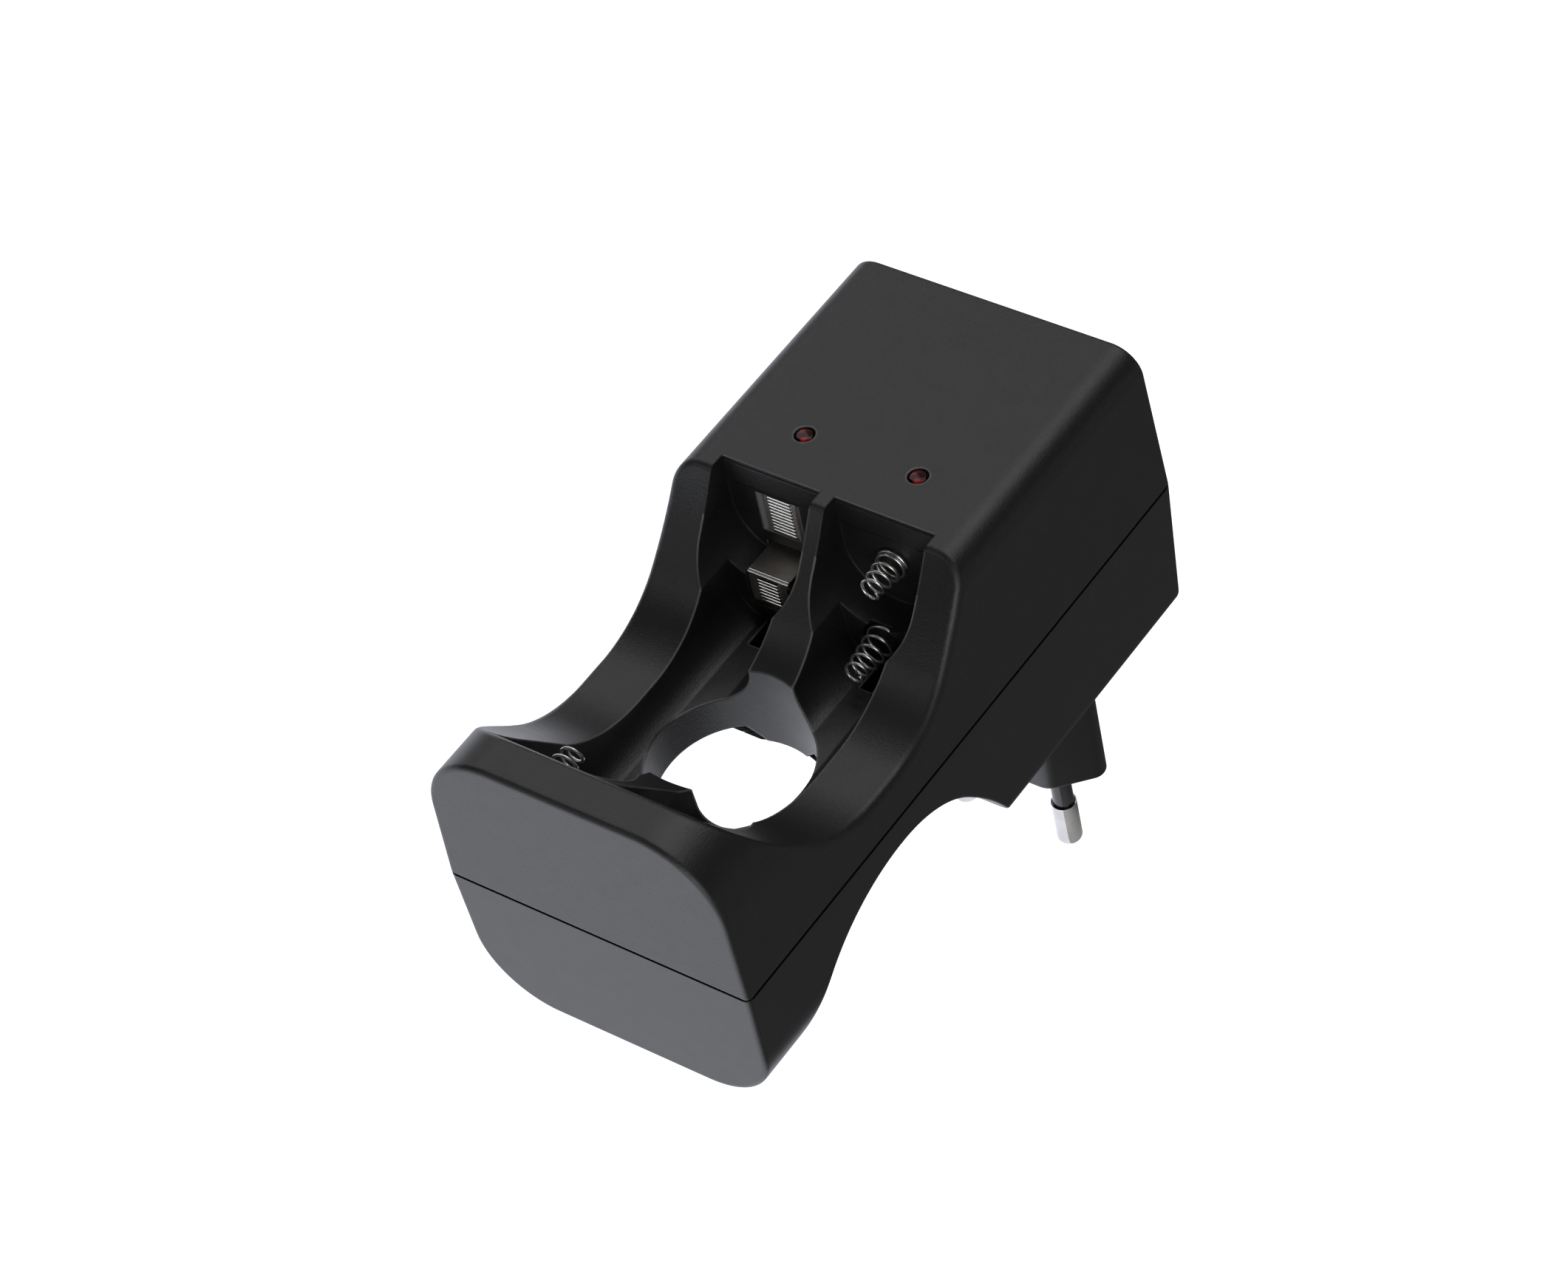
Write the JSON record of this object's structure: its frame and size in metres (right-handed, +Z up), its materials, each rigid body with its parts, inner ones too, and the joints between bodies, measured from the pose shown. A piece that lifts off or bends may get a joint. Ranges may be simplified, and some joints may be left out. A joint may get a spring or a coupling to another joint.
{
  "type": "aa battery charger",
  "caption": "Plug-in charger for two AA or AAA cells, with a scooped body, finger hole, coil springs and a flat two-pin mains plug.",
  "frame": {"origin": "centre of the plug's end face, midway between the two pins", "axes": "+Z up out of the battery bays, pins along -Z, -Y towards the front end of the case, X across the two bays"},
  "size_m": [0.051, 0.107, 0.0949],
  "materials": {
    "black_case": "fine textured black plastic",
    "nickel": "nickel-plated, bright",
    "nickel_wire": "nickel-plated spring wire",
    "black_insulation": "smooth black",
    "red_lens": "clear dark red",
    "board": "brown laminate",
    "core_steel": "stacked laminations",
    "bobbin_plastic": "natural",
    "copper_wire": "enamelled winding",
    "component_body": "moulded black",
    "resistor_body": "lacquered",
    "capacitor_sleeve": "shrunk sleeve",
    "zinc": "zinc-plated",
    "lead_brown": "brown insulation",
    "lead_blue": "blue insulation",
    "lead_red": "red insulation",
    "lead_black": "black insulation"
  },
  "bodies": {
    "case": {"upper_housing": "black_case", "lower_housing": "black_case", "plug_block": "black_case", "plug_pin_right": "nickel", "plug_pin_left": "nickel", "pin_sleeve_right": "black_insulation", "pin_sleeve_left": "black_insulation", "aa_contact_rear": "nickel", "aaa_contact_rear": "nickel", "contact_strip_front": "nickel", "spring_strip_front": "nickel", "spring_strip_rear": "nickel", "indicator_left": "red_lens", "indicator_right": "red_lens", "circuit_board": "board", "transformer_core": "core_steel", "transformer_bobbin": "bobbin_plastic", "transformer_pins": "nickel", "primary_winding": "copper_wire", "secondary_winding": "copper_wire", "rectifier_diodes": "component_body", "resistors": "resistor_body", "transistors": "component_body", "smoothing_capacitor": "capacitor_sleeve", "housing_screws": "zinc", "board_screws": "zinc", "mains_lead_right": "lead_brown", "mains_lead_left": "lead_blue", "front_lead_right": "lead_red", "front_lead_left": "lead_black"},
    "aa_rear_spring": {"aa_spring_rear": "nickel_wire"},
    "aaa_rear_spring": {"aaa_spring_rear": "nickel_wire"},
    "aa_front_spring": {"aa_spring_front": "nickel_wire"},
    "aaa_front_spring": {"aaa_spring_front": "nickel_wire"}
  },
  "joints": [
    {"name": "aa_rear_compression", "type": "slide", "parent": "case", "child": "aa_rear_spring", "axis": [0, 1, 0], "range_m": [0, 0.0035], "stiffness_N_per_m": 400, "deforming": ["aa_spring_rear"]},
    {"name": "aaa_rear_compression", "type": "slide", "parent": "case", "child": "aaa_rear_spring", "axis": [0, 1, 0], "range_m": [0, 0.0035], "stiffness_N_per_m": 400, "deforming": ["aaa_spring_rear"]},
    {"name": "aa_front_compression", "type": "slide", "parent": "case", "child": "aa_front_spring", "axis": [0, -1, 0], "range_m": [0, 0.0035], "stiffness_N_per_m": 400, "deforming": ["aa_spring_front"]},
    {"name": "aaa_front_compression", "type": "slide", "parent": "case", "child": "aaa_front_spring", "axis": [0, -1, 0], "range_m": [0, 0.0035], "stiffness_N_per_m": 400, "deforming": ["aaa_spring_front"]}
  ]
}
